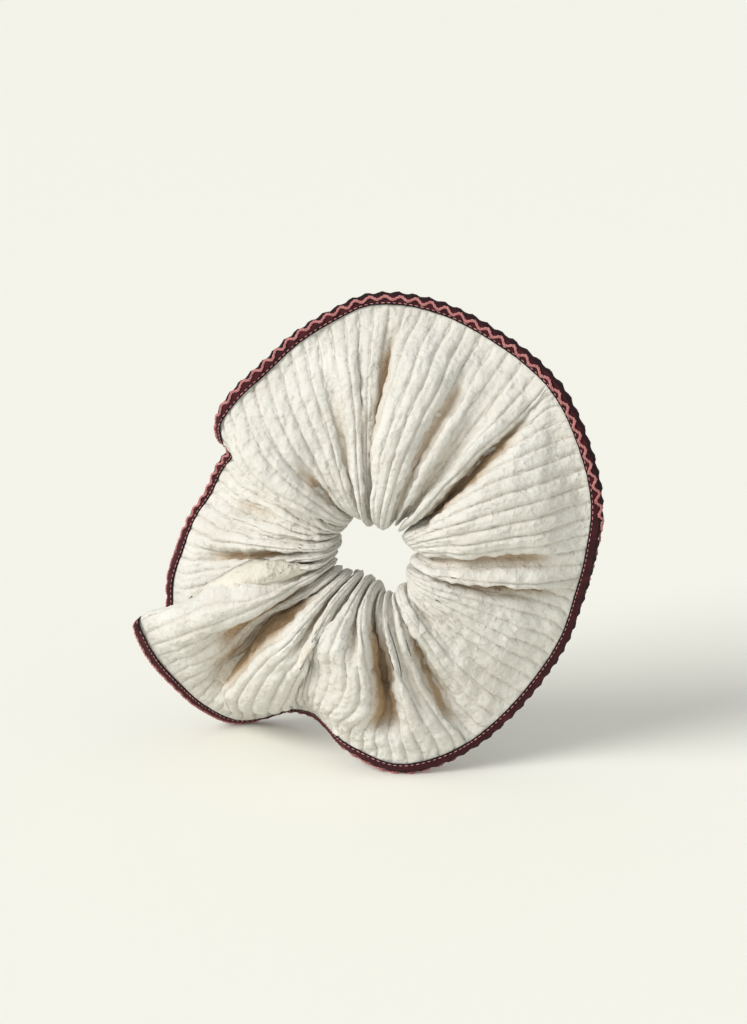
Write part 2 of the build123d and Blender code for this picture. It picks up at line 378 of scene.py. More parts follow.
def pleat_row(row):
    """One row's points, and how far each stands off the smooth tube."""
    base, height = tube[row], abs(across[row])
    arc = running(ring_gaps(base))
    around = arc[-1]

    def arc_at(place):
        return np.interp(np.mod(place, 1), np.append(share, 1), arc) + np.floor(place) * around

    deepest = np.interp(height, ROW_MARKS, DEEPEST_FOLD)
    shoulder = 3.6 + 3.4 * smooth(0.15, 0.6, height)
    row_radius = RING_RADIUS + (np.linalg.norm(edge_line[:, [0, 2]], axis=1) - RING_RADIUS) \
        * outwards[row]
    slope = np.zeros(columns)
    for low, high in zip(panel_bounds, panel_bounds[1:]):
        spare = (high - low) * cloth_length - (arc_at(high) - arc_at(low))
        inside = np.flatnonzero((fold_at >= low) & (fold_at < high))
        far = folds[inside, REACH] * (back_reach[inside] if across[row] < 0 else 1)
        radius = np.interp(np.mod(fold_at[inside], 1), share, row_radius)
        fade = np.clip((far - radius) / (FADE_SHARE * (far - HOLE_RADIUS)), 0, 1)
        strength = folds[inside, SHARE] * fade
        for index, part in zip(inside, strength / max(strength.sum(), 1e-3)):
            cloth = min(max(spare, 0) * part, (2 * deepest + 4) * max(folds[index, SHARE], 1))
            if part > 0 and cloth > 0:
                openness = (min(cloth / 6, 1) * min(strength.sum() / 0.25, 1),
                            smooth(0.25, 0.6, height))
                bottom = fold_at[index] * cloth_length + folds[index, SIDE] * cloth / 2
                slope += fold_turn(thread * cloth_length - bottom, cloth,
                                   folds[index], openness, shoulder)
    slope = np.clip(slope, -STEEPEST, STEEPEST)
    step = cloth_length / columns
    along, off = np.zeros(columns + 1), np.zeros(columns + 1)
    for low, high in zip(panel_bounds, panel_bounds[1:]):
        a, b = (int(round((x - seam_start) * columns)) for x in (low, high))
        run, rise = running(np.cos(slope[a:b]) * step), running(np.sin(slope[a:b]) * step)
        along[a:b + 1] = arc_at(low) + run * (arc_at(high) - arc_at(low)) / run[-1]
        off[a:b + 1] = rise - np.linspace(0, rise[-1], len(rise))
    off[:-1] += lift * smooth(0.06, 0.4, height) * (0.6 if across[row] < 0 else 1)
    off *= 1 - smooth(*PRESSED, height)              # the bound edge is pressed flat
    # a fold has only the tube's own thickness to sink into; the back leaves room for the front
    room = abs(half_thick[row]) * (BACK_ROOM if across[row] < 0 else FRONT_ROOM) + 0.5
    room = max(room, HOLE_ROOM * (1 - smooth(0.3, 0.5, height)))
    off = np.where(off < 0, -room * np.tanh(-off / room), off)
    place = np.mod(np.interp(along[:-1], np.concatenate([arc[:-1] + k * around for k in (-1, 0, 1)]),
                             np.concatenate([share + k for k in (-1, 0, 1)])), 1)
    closed = np.append(share, 1)
    foot, way = (points_at(place, closed, field) for field in (base, tube_normals[row]))
    return foot + way * off[:-1, None], off[:-1]


rows = [pleat_row(row) for row in range(len(across))]
pleated = np.array([points for points, _ in rows])
stand_off = np.array([off for _, off in rows])


def relax(grid, weight):
    """Move every point part of the way to the mean of its four neighbours."""
    mean = (np.roll(grid, 1, 1) + np.roll(grid, -1, 1)) / 2
    mean[1:-1] = (mean[1:-1] + (grid[2:] + grid[:-2]) / 2) / 2
    return grid + weight * (mean - grid)


FLAP_TURN = (176, 193)                     # hole angles where the edge folds back on itself
LOBE_SIDE = (228, 262)                     # where the front lobe's edge swings back


def zone(angles, fade, row_weight):
    """A weight for every point: 1 between two hole angles, and as the rows say."""
    inside = (smooth(angles[0] - fade, angles[0], thread_angle)
              * (1 - smooth(angles[1], angles[1] + fade, thread_angle)))
    return (inside[None] * row_weight[:, None])[:, :, None]


turn_weight = zone(FLAP_TURN, 3, smooth(0.55, 0.8, np.abs(across)))
lobe_weight = zone(LOBE_SIDE, 6, smooth(0.4, 0.6, across))
for rounds, weight in ((3, 0.5), (30, 0.9 * lobe_weight), (16, 0.9 * turn_weight)):
    for _ in range(rounds):
        pleated = relax(pleated, weight)
print("folds, mm: deepest", round(stand_off.min(), 1), "highest", round(stand_off.max(), 1))

# %% [markdown]
# ## Quilting and crinkle
# Each channel is a soft roll between two sewn seams. The thread pinches the cloth into short
# puckers beside every seam, and washing leaves larger dents and creases. All of it is real
# relief, moved along the surface's own direction, so it catches the light from any side.

# %% Relief of the quilted cloth
def cloth_noise(seed, cells_along, cells_across, shear=0.0):
    """Smooth random values from -1 to 1 over the strip, joined up where the strip meets itself."""
    grid = np.random.default_rng(seed).uniform(-1, 1, (cells_across + 2, cells_along))
    down = (across + 1) / 2 * cells_across
    side = ((thread - seam_start) * cells_along)[None, :] + shear * down[:, None]
    i, j = np.floor(down).astype(int), np.floor(side).astype(int)
    s, t = (down - i)[:, None], side - j
    s, t = s * s * (3 - 2 * s), t * t * (3 - 2 * t)
    i = i[:, None]
    near = grid[i, j % cells_along] * (1 - t) + grid[i, (j + 1) % cells_along] * t
    far = grid[i + 1, j % cells_along] * (1 - t) + grid[i + 1, (j + 1) % cells_along] * t
    return near * (1 - s) + far * s


PUFF, PUCKER, DENT, CREASE = 1.15, 0.5, 0.8, 0.7      # heights, mm
from_seam = np.abs(2 * (((thread - seam_start) * channels) % 1) - 1)      # 1 on a seam
roll = PUFF * (1 - from_seam ** 2.6) - PUFF / 2
row_height = np.abs(across)[:, None]
calm_edge = 1 - smooth(0.92, 0.965, row_height)
calm_hole = smooth(0.04, 0.22, row_height)
seam_pinch = from_seam[None] ** 1.4
relief = roll[None] * (0.35 + 0.65 * calm_hole) * (1 + 0.35 * cloth_noise(1, channels, 24))
relief += PUCKER * seam_pinch * cloth_noise(2, 2 * channels, 44, 0.6) * calm_hole
relief += 0.5 * PUCKER * cloth_noise(3, 2 * channels, 60, -0.8) * calm_hole
relief += DENT * cloth_noise(4, 46, 14, 0.3) * calm_hole
relief -= CREASE * np.maximum(0.25 - np.abs(cloth_noise(5, 80, 22, 1.1)), 0) * 4 * calm_hole
relief -= CREASE * np.maximum(0.2 - np.abs(cloth_noise(6, 64, 26, -1.3)), 0) * 4 * calm_hole
relief *= calm_edge * (1 - 0.4 * turn_weight[:, :, 0])
cloth_normals = grid_normals(pleated, 2)
quilted = (pleated + cloth_normals * relief[:, :, None]) * MM + HOLE
print("relief, mm:", round(relief.min(), 2), "to", round(relief.max(), 2))

# %% [markdown]
# ## Cloth materials
# Washed natural cotton is matt and slightly uneven: creamy threads, a few darker slubs, a weave
# that shows close up. Deep folds are painted with shade: darker and warmer, as light reaches them through
# the cloth.

# %% Material helpers
SPECULAR = 0.25              # cloth and yarn hardly shine


def put(tree, value, socket):
    """Set a socket to a plain value, or link another node's output to it."""
    if isinstance(value, bpy.types.NodeSocket):
        tree.links.new(value, socket)
    else:
        socket.default_value = value


def new_node(tree, kind, **values):
    """A new node; values are its inputs, with underscores for spaces."""
    node = tree.nodes.new(kind)
    for label, value in values.items():
        put(tree, value, node.inputs[label.replace("_", " ")])
    return node


def maths_node(tree, how, first, second=None):
    node = new_node(tree, "ShaderNodeMath")
    node.operation = how
    put(tree, first, node.inputs[0])
    if second is not None:
        put(tree, second, node.inputs[1])
    return node.outputs[0]


class Paint:
    """A Principled material, with short ways to add nodes to it."""

    def __init__(self, name, roughness, sheen):
        self.material = bpy.data.materials.new(name)
        self.material.use_nodes = True
        self.tree = self.material.node_tree
        self.shader = self.tree.nodes["Principled BSDF"]
        self.shader.inputs["Roughness"].default_value = roughness
        self.shader.inputs["Sheen Weight"].default_value = sheen
        self.shader.inputs["Specular IOR Level"].default_value = SPECULAR
        self.coords = self.add("TexCoord").outputs["Object"]

    def add(self, kind, **values):
        return new_node(self.tree, "ShaderNode" + kind, **values)

    def finish(self, colour, normal):
        """Give the shader its colour and its bumps."""
        put(self.tree, colour, self.shader.inputs["Base Color"])
        put(self.tree, normal, self.shader.inputs["Normal"])
        return self.material

    def noise(self, coords, scale, detail):
        return self.add("TexNoise", Scale=scale, Detail=detail, Vector=coords).outputs["Fac"]

    def ramp(self, factor, stops):
        node = self.add("ValToRGB", Fac=factor)
        elements = node.color_ramp.elements
        elements[0].position, elements[0].color = stops[0]
        elements[1].position, elements[1].color = stops[-1]
        for position, colour in stops[1:-1]:
            elements.new(position).color = colour
        return node.outputs["Color"]

    def mix(self, factor, first, second, how="MIX"):
        node = self.add("Mix")
        node.data_type = "RGBA"
        node.blend_type = how
        for index, value in ((0, factor), (6, first), (7, second)):
            put(self.tree, value, node.inputs[index])
        return node.outputs[2]

    def maths(self, how, first, second=None):
        return maths_node(self.tree, how, first, second)

    def attribute(self, name):
        node = self.add("Attribute")
        node.attribute_name = name
        return node.outputs["Fac"]

    def cloth_uv(self):
        node = self.add("UVMap")
        node.uv_map = "cloth"
        return node.outputs["UV"]

    def stretched(self, coords, sizes):
        return self.add("Mapping", Scale=sizes, Vector=coords).outputs["Vector"]

    def bump(self, height, strength, distance, below=None):
        node = self.add("Bump", Strength=strength, Distance=distance, Height=height)
        if below is not None:
            put(self.tree, below, node.inputs["Normal"])
        return node.outputs["Normal"]


def woven_height(paint, pitch):
    """Over-and-under weave from the piece's own cloth coordinates."""
    uv = paint.cloth_uv()
    heights = []
    for direction in ("X", "Y"):
        wave = paint.add("TexWave", Scale=math.pi / 10 / pitch, Distortion=1.5, Detail_Scale=2.0, Vector=uv)
        wave.bands_direction = direction
        heights.append(wave.outputs["Fac"])
    return paint.mix(0.5, *heights)


def seam_nearness(paint, cloth):
    """1 on a quilting seam, 0 in the middle of a channel, from the cloth's own coordinates."""
    along = paint.add("SeparateXYZ", Vector=cloth).outputs["X"]
    counted = paint.maths("DIVIDE", along, CHANNEL * MM)
    part = paint.maths("SUBTRACT", paint.maths("FRACT", counted), 0.5)
    return paint.maths("MULTIPLY", paint.maths("ABSOLUTE", part), 2.0)


def crumple_height(paint, scale):
    """Faceted hollows with soft ridges, as in washed cotton."""
    bend = paint.add("TexNoise", Scale=scale * 1.3, Vector=paint.coords)
    moved = paint.add("VectorMath")
    moved.operation = "MULTIPLY_ADD"
    for socket, value in zip(moved.inputs, (bend.outputs["Color"], (0.9 / scale,) * 3, paint.coords)):
        put(paint.tree, value, socket)
    return paint.add("TexVoronoi", Scale=scale, Vector=moved.outputs["Vector"]).outputs["Distance"]


SLUB_SCALE, PUCKER_SCALE = (500, 1500, 1), (170, 430, 1)     # per metre along and across the strip
# the second colour is painted shade along the quilting seams
SLUB_COLOUR, SEAM_SHADE_COLOUR = (0.80, 0.75, 0.66, 1), (0.50, 0.43, 0.33, 1)
WEAVE_PITCH = 0.0006


def cotton_material(name, light, shade, fold_shade_colour):
    paint = Paint(name, 0.93, 0.1)
    cloth = paint.cloth_uv()
    seam = seam_nearness(paint, cloth)
    base = paint.ramp(paint.noise(paint.coords, 60, 5), [(0.32, shade), (0.66, light)])
    slubs = paint.noise(paint.stretched(cloth, SLUB_SCALE), 1.0, 2)
    flecks = paint.ramp(slubs, [(0.62, (1, 1, 1, 1)), (0.74, SLUB_COLOUR)])
    base = paint.mix(0.5, base, flecks, "MULTIPLY")
    # painted shade: deep in the folds the colour turns darker and warmer
    base = paint.mix(paint.attribute("painted_fold_shade"), base, fold_shade_colour)
    # painted shade: the cloth is painted darker along each quilting seam, where it dips in
    painted_seam_shade = paint.maths("MULTIPLY", paint.maths("POWER", seam, 9.0), 0.38)
    base = paint.mix(painted_seam_shade, base, SEAM_SHADE_COLOUR)
    groove = paint.maths("SUBTRACT", 1.0, paint.maths("POWER", seam, 5.0))
    puckers = paint.maths("MULTIPLY", paint.noise(paint.stretched(cloth, PUCKER_SCALE), 1.0, 2),
                          paint.maths("POWER", seam, 1.5))
    bumps = None
    for height, strength, distance in (          # coarse relief first, the weave last
            (groove, 0.8, 0.0007), (puckers, 0.7, 0.0014),
            (crumple_height(paint, 150), 0.6, 0.0018), (crumple_height(paint, 380), 0.5, 0.0009),
            (paint.noise(paint.coords, 900, 4), 0.6, 0.0005),
            (woven_height(paint, WEAVE_PITCH), 0.25, 0.0002)):
        bumps = paint.bump(height, strength, distance, bumps)
    return paint.finish(base, bumps)


# the last colour of each cotton is the painted shade deep in the folds
cover_cotton = cotton_material("cover_cotton", (0.765, 0.752, 0.70, 1), (0.695, 0.672, 0.61, 1),
                               (0.46, 0.31, 0.165, 1))
lining_cotton = cotton_material("lining_cotton", (0.80, 0.76, 0.67, 1), (0.72, 0.68, 0.58, 1),
                                (0.62, 0.54, 0.42, 1))
print("cotton made")

# %% [markdown]
# ## The cover
# The cover is cloth, so its mesh has two skins: the fine outer one, with all its relief, and a
# plainer inner one a little way inside. Both close on themselves round the ring and round the
# tube. The strip's own length and width are kept as the UV map for the weave.

# %% Cover
def skin_faces(count_rows, count_columns, start, flip):
    i, j = np.meshgrid(np.arange(count_rows), np.arange(count_columns), indexing="ij")
    below, beside = (i + 1) % count_rows, (j + 1) % count_columns
    corners = [i * count_columns + j, i * count_columns + beside,
               below * count_columns + beside, below * count_columns + j]
    if flip:
        corners.reverse()
    return np.stack(corners, -1).reshape(-1, 4) + start


def two_skin_mesh(name, outer, inner, material, depth=None):
    """A closed cloth of two nested skins, outer facing out and inner facing in."""
    points = np.concatenate([outer.reshape(-1, 3), inner.reshape(-1, 3)])
    faces = np.concatenate([skin_faces(*outer.shape[:2], 0, OUTER_FLIP),
                            skin_faces(*inner.shape[:2], outer.shape[0] * outer.shape[1],
                                       not OUTER_FLIP)])
    mesh = bpy.data.meshes.new(name)
    mesh.from_pydata(points.tolist(), [], faces.tolist())
    uv_points = []
    for skin in (outer, inner):
        v, u = np.meshgrid(np.linspace(-1, 1, skin.shape[0]) * CLOTH_HALF_WIDTH * MM,
                           np.arange(skin.shape[1]) / skin.shape[1] * cloth_length * MM,
                           indexing="ij")
        uv_points.append(np.stack([u, v], -1).reshape(-1, 2))
    uv_points = np.concatenate(uv_points)
    uv = uv_points[faces]
    for axis, size in ((0, cloth_length * MM), (1, 2 * CLOTH_HALF_WIDTH * MM)):
        values = uv[:, :, axis]                        # faces that close the loop wrap round
        wraps = values.max(1) - values.min(1) > size / 2
        values[wraps] += np.where(values[wraps] < values[wraps].mean(1, keepdims=True), size, 0)
    layer = mesh.uv_layers.new(name="cloth")
    layer.data.foreach_set("uv", uv.reshape(-1).astype(np.float32))
    # depth here is the painted fold shade, kept on the outer skin's points
    if depth is not None:
        values = np.concatenate([depth.reshape(-1), np.zeros(inner.shape[0] * inner.shape[1])])
        attribute = mesh.attributes.new("painted_fold_shade", "FLOAT", "POINT")
        attribute.data.foreach_set("value", values.astype(np.float32))
    mesh.shade_smooth()
    mesh.materials.append(material)
    return new_object(name, mesh)


# the sense of turn that makes the outer skin's faces look outwards
probe = 3 * HALF_ROWS // 2
probe_normal = np.cross(quilted[probe, 1] - quilted[probe, 0], quilted[probe + 1, 0] - quilted[probe, 0])
OUTER_FLIP = bool(probe_normal @ cloth_normals[probe, 0] < 0)
THIN_COLUMNS, THIN_ROWS = 4, 2
inset_share = (0.25 + 0.75 * smooth(0.05, 0.4, np.abs(across)))[:, None, None]


def inner_skin(depth):
    """A plainer copy of the pleated tube, this many mm inside it."""
    skin = pleated - cloth_normals * depth * inset_share
    return skin[:-1:THIN_ROWS, ::THIN_COLUMNS] * MM + HOLE


VALLEY_SPAN = 14                            # columns each side in which a fold's lip is looked for
lip = stand_off.copy()
for step in range(1, VALLEY_SPAN + 1):
    lip = np.maximum(lip, np.maximum(np.roll(stand_off, step, 1), np.roll(stand_off, -step, 1)))
below_lip = relax(lip - stand_off, 0.9)
# painted shade: cloth far below a nearby fold's lip is painted darker and warmer
painted_valley_shade = smooth(2.5, 10.0, below_lip) * smooth(0.08, 0.3, np.abs(across))[:, None]
quilted_cover = two_skin_mesh("quilted_cover", quilted, inner_skin(1.0), cover_cotton, 0.95 * painted_valley_shade)
print("cover faces:", len(quilted_cover.data.polygons))

# %% [markdown]
# ## Wadding and lining
# Behind the cover lie a layer of wadding and a thin cotton lining. They aren't seen from
# outside, but they are real layers of the quilt, so each is its own closed tube and follows
# the same folds a little further in.

# %% Wadding and lining
def layer_tube(name, outer_depth, inner_depth, material):
    return two_skin_mesh(name, inner_skin(outer_depth), inner_skin(inner_depth), material)


def wadding_material():
    paint = Paint("wadding", 1.0, 0.3)
    fluff = paint.noise(paint.coords, 700, 6)
    whites = paint.ramp(fluff, [(0.3, (0.82, 0.81, 0.78, 1)), (0.7, (0.93, 0.92, 0.90, 1))])
    return paint.finish(whites, paint.bump(fluff, 0.8, 0.001))


WADDING_DEPTHS, LINING_DEPTHS = (1.3, 2.5), (2.7, 3.0)       # mm inside the cover's face
quilt_wadding = layer_tube("quilt_wadding", *WADDING_DEPTHS, wadding_material())
quilt_lining = layer_tube("quilt_lining", *LINING_DEPTHS, lining_cotton)
print("layers:", quilt_wadding.name, quilt_lining.name)

# %% [markdown]
# ## The bound edge
# A velvet tape is folded over the raw edge of the quilt and stitched through. Its section is
# a U drawn as distances in from the edge and out from the middle, and it follows the cover's
# own last rows, so it waves exactly as the cloth does. Its rim is slightly scalloped, where
# the wavy braid pulls it.

# %% Edge frames
HALF_TAPE = np.array([(3.0, 2.75), (2.5, 2.95), (1.3, 2.7), (0.3, 2.3), (-0.5, 1.55), (-0.95, 0.75),
                      (-1.05, 0.0)])        # outer face of the tape's front half, mm
TAPE_THICKNESS = 0.5
half_tape_arc = running(np.linalg.norm(np.diff(HALF_TAPE[::-1], axis=0), axis=1))
TAPE_HALF_WIDTH = half_tape_arc[-1]
SCALLOP_PITCH, SCALLOP, SCALLOP_REACH = 5.6, 0.45, 1.6      # mm: length, height, how far from the rim
NAP = 0.12                   # mm, unevenness of the velvet's pile


edge_middle = even_out((pleated[-1] + pleated[0]) / 2, 7)
side_raw = even_out(unit(pleated[-1] - pleated[0]), 13)
inward_raw = even_out(unit((pleated[-7] + pleated[6]) / 2 - edge_middle), 13)
edge_side_way = unit(side_raw)
edge_inward = unit(inward_raw - (inward_raw * edge_side_way).sum(-1, keepdims=True) * edge_side_way)
edge_arc = running(ring_gaps(edge_middle))
EDGE_LENGTH = edge_arc[-1]
scallops = round(EDGE_LENGTH / SCALLOP_PITCH)


def on_edge(place, inward, outward):
    """A point by mm along the edge, mm in from it and mm out from the quilt's middle."""
    foot, inward_way, side_way_here = (points_at(np.mod(place, EDGE_LENGTH), edge_arc, field)
                                       for field in (edge_middle, edge_inward, edge_side_way))
    return foot + inward_way * inward[:, None] + side_way_here * outward[:, None]


def on_tape(place, round_edge, lift):
    """A point on the tape: mm along, mm round from the rim (minus is the back), mm above."""
    arc = np.abs(round_edge)
    inward, outward = (np.interp(arc, half_tape_arc, HALF_TAPE[::-1, axis]) for axis in (0, 1))
    near = [np.interp(arc + 0.3, half_tape_arc, HALF_TAPE[::-1, axis]) -
            np.interp(np.maximum(arc - 0.3, 0), half_tape_arc, HALF_TAPE[::-1, axis]) for axis in (0, 1)]
    size = np.hypot(*near) + 1e-9
    inward = inward - near[1] / size * lift
    outward = (outward + near[0] / size * lift) * np.where(round_edge < 0, -1, 1)
    return on_edge(place, inward, outward)


print("edge, mm:", round(EDGE_LENGTH, 1), "tape half width, mm:", round(TAPE_HALF_WIDTH, 2))

# %% Velvet and tape
def velvet_material():
    """Maroon pile, almost black near its rim and near the tape's inner edges."""
    paint = Paint("binding_velvet", 0.9, 0.25)
    paint.shader.inputs["Sheen Roughness"].default_value = 0.4
    paint.shader.inputs["Sheen Tint"].default_value = (0.45, 0.16, 0.18, 1)
    bands = paint.ramp(paint.attribute("tape_place"), [
        (0.0, (0.010, 0.005, 0.006, 1)), (0.34, (0.014, 0.006, 0.008, 1)), (0.46, (0.046, 0.010, 0.014, 1)),
        (0.80, (0.040, 0.009, 0.012, 1)), (0.88, (0.012, 0.006, 0.007, 1))])
    patches = paint.noise(paint.coords, 260, 4)
    # painted sheen: random brighter, redder patches stand in for light catching the pile
    painted_sheen = paint.ramp(patches, [(0.42, (1, 1, 1, 1)), (0.7, (2.2, 1.6, 1.6, 1))])
    pile = paint.noise(paint.coords, 2200, 3)
    return paint.finish(paint.mix(0.7, bands, painted_sheen, "MULTIPLY"), paint.bump(pile, 0.9, 0.0005))


def face_outwards(mesh):
    """Turn every face of a closed mesh to look outwards."""
    shell = bmesh.new()
    shell.from_mesh(mesh)
    bmesh.ops.recalc_face_normals(shell, faces=shell.faces)
    shell.to_mesh(mesh)
    shell.free()


TAPE_COLUMN_STEP = 2
tape_places = edge_arc[:-1:TAPE_COLUMN_STEP]
rim_round = np.concatenate([-half_tape_arc[::-1], half_tape_arc[1:]])
rim_round = np.sort(np.concatenate([rim_round, (rim_round[1:] + rim_round[:-1]) / 2]))
scallop_wave = SCALLOP * np.cos(tape_places / EDGE_LENGTH * scallops * 2 * math.pi)
tape_rows = []
for depth, rounds in ((0, rim_round), (-TAPE_THICKNESS, rim_round[::-1])):
    for value in rounds:
        height = depth + scallop_wave * np.exp(-(value / SCALLOP_REACH) ** 2)
        if depth == 0:                                 # the pile is on the outer face only
            height += NAP * np.cos(tape_places * 2.9 + 3 * value) * np.cos(tape_places * 1.7 - 2 * value)
        tape_rows.append(on_tape(tape_places, np.full(len(tape_places), value), height))
tape_points = np.array(tape_rows)
tape_faces = skin_faces(*tape_points.shape[:2], 0, False)
tape_mesh = bpy.data.meshes.new("edge_binding")
tape_mesh.from_pydata((tape_points.reshape(-1, 3) * MM + HOLE).tolist(), [], tape_faces.tolist())
tape_place = np.concatenate([np.abs(rim_round), np.abs(rim_round[::-1])]) / TAPE_HALF_WIDTH
attribute = tape_mesh.attributes.new("tape_place", "FLOAT", "POINT")
attribute.data.foreach_set("value", np.repeat(tape_place, len(tape_places)).astype(np.float32))
face_outwards(tape_mesh)
tape_mesh.shade_smooth()
tape_mesh.materials.append(velvet_material())
edge_binding = new_object("edge_binding", tape_mesh)
print("tape faces:", len(tape_mesh.polygons))

# %% [markdown]
# ## Yarns along a path
# Braid and elastic are made of yarns. A small node tree turns lines of points into round
# yarns: Mesh to Curve, then Curve to Mesh with a circle. One tree serves them all, because
# thickness and number of sides are named inputs.

# %% The yarn tree
def node_tree(name, inputs):
    tree = bpy.data.node_groups.new(name, "GeometryNodeTree")
    tree.interface.new_socket("Geometry", in_out="INPUT", socket_type="NodeSocketGeometry")
    tree.interface.new_socket("Geometry", in_out="OUTPUT", socket_type="NodeSocketGeometry")
    for label, kind, value in inputs:
        socket = tree.interface.new_socket(label, in_out="INPUT", socket_type=kind)
        if value is not None:
            socket.default_value = value
    return tree, tree.nodes.new("NodeGroupInput"), tree.nodes.new("NodeGroupOutput")


def finish_tree(tree, start, end, geometry):
    """Every tree ends alike: instances become real geometry, which then gets its material."""
    real = new_node(tree, "GeometryNodeRealizeInstances", Geometry=geometry)
    painted = new_node(tree, "GeometryNodeSetMaterial", Geometry=real.outputs["Geometry"],
                       Material=start.outputs["Material"])
    tree.links.new(painted.outputs["Geometry"], end.inputs["Geometry"])
    return tree


def yarn_tree():
    tree, start, end = node_tree("yarns_on_lines", [
        ("Yarn Radius", "NodeSocketFloat", 0.0003), ("Sides", "NodeSocketInt", 6),
        ("Material", "NodeSocketMaterial", None)])
    given = start.outputs
    curve = new_node(tree, "GeometryNodeMeshToCurve", Mesh=given["Geometry"])
    ring = new_node(tree, "GeometryNodeCurvePrimitiveCircle", Radius=given["Yarn Radius"],
                    Resolution=given["Sides"])
    sweep = new_node(tree, "GeometryNodeCurveToMesh", Curve=curve.outputs["Curve"],
                     Profile_Curve=ring.outputs["Curve"], Fill_Caps=True)
    return finish_tree(tree, start, end, sweep.outputs["Mesh"])


def grown(name, mesh, tree, values):
    """Run the tree on the mesh and keep its result as a plain mesh."""
    seed = new_object(name + "_path", mesh)
    modifier = seed.modifiers.new("grow", "NODES")
    modifier.node_group = tree
    sockets = {item.name: item.identifier for item in tree.interface.items_tree
               if item.item_type == "SOCKET" and item.in_out == "INPUT"}
    for label, value in values.items():
        modifier[sockets[label]] = value
    graph = bpy.context.evaluated_depsgraph_get()
    made = bpy.data.meshes.new_from_object(seed.evaluated_get(graph), depsgraph=graph)
    bpy.data.objects.remove(seed)
    made.name = name
    made.shade_smooth()
    piece = new_object(name, made)
    print(name, "faces:", len(made.polygons))
    return piece


def lines_mesh(name, lines, closed):
    """A mesh of edges only; each line is an array of points in metres."""
    points, edges, start = [], [], 0
    for line in lines:
        points.append(line)
        last = len(line) if closed else len(line) - 1
        edges += [(start + i, start + (i + 1) % len(line)) for i in range(last)]
        start += len(line)
    mesh = bpy.data.meshes.new(name)
    mesh.from_pydata(np.concatenate(points).tolist(), edges, [])
    return mesh


yarns_on_lines = yarn_tree()
print("inputs:", [item.name for item in yarns_on_lines.interface.items_tree])

# %% [markdown]
# ## The wavy braid
# A dusty pink cord runs along the tape in small waves. The tape twists as it goes, so the
# cord is on the front round the top and the upper left, lies on the rim along the bottom, and is
# behind it at the lower right. It is two yarns, twisted round each other along the waving line.

# %% Wavy braid
def yarn_material(name, light, dark, sheen):
    paint = Paint(name, 0.75, sheen)
    tone = paint.ramp(paint.noise(paint.coords, 500, 3), [(0.3, dark), (0.7, light)])
    fibres = paint.noise(paint.coords, 4000, 2)
    return paint.finish(tone, paint.bump(fibres, 0.6, 0.0002))


braid_pink = yarn_material("braid_pink", (0.60, 0.25, 0.24, 1), (0.42, 0.14, 0.14, 1), 0.3)
# angle round the ring, and where the braid lies round the rim there (minus is the back), mm
BRAID_ROLL = [
    (0, -2), (8, -1.2), (15, 2.8), (30, 4.0), (45, 4.0), (60, 3.4), (90, 3.2), (105, 2.5), (136, 2.3),
    (150, 3.0), (178, 2.8), (186, 1.0), (200, 0.6), (216, 2.0), (232, 1.6), (242, 0.4), (256, -0.6),
    (270, 0.8), (290, -0.8), (302, -3), (360, -2),
]
BRAID_LIFT, BRAID_DEPTH = 0.38, 0.2          # mm above the tape, and how far the yarns pass over each other
BRAID_WAVE, BRAID_YARN, BRAID_TWIST = 0.7, 0.31, 2.2      # mm: wave height, yarn radius, twist pitch
roll_table = np.array(BRAID_ROLL)
braid_walk = np.arange(0, EDGE_LENGTH, 0.42)
edge_points = on_edge(braid_walk, 0 * braid_walk, 0 * braid_walk)
ring_angle = np.degrees(np.arctan2(edge_points[:, 2], edge_points[:, 0])) % 360
roll_here = even_out(np.interp(ring_angle, roll_table[:, 0], roll_table[:, 1])[:, None], 41)[:, 0]
wave_turn = braid_walk / EDGE_LENGTH * scallops * 2 * math.pi
twist_turn = braid_walk / EDGE_LENGTH * round(EDGE_LENGTH / BRAID_TWIST) * 2 * math.pi
braid_lines = []
for start_turn in (0, math.pi):
    height = BRAID_WAVE * (1 + 0.25 * np.sin(braid_walk / 17) * np.sin(braid_walk / 7.3))
    round_place = roll_here + height * np.sin(wave_turn) + 0.3 * np.cos(twist_turn + start_turn)
    above = BRAID_LIFT + BRAID_DEPTH * np.sin(twist_turn + start_turn)
    braid_lines.append(on_tape(braid_walk, round_place, above) * MM + HOLE)
wavy_braid = grown("wavy_braid", lines_mesh("braid_lines", braid_lines, True), yarns_on_lines,
                   {"Yarn Radius": BRAID_YARN * MM, "Sides": 7, "Material": braid_pink})

# %% [markdown]
# ## Stitches
# A stitch is a short thread that dips into the cloth at both ends. The stitch tree puts one on
# every point, turned along its seam and standing out of the cloth. The binding's seam and the
# quilting seams both use it.

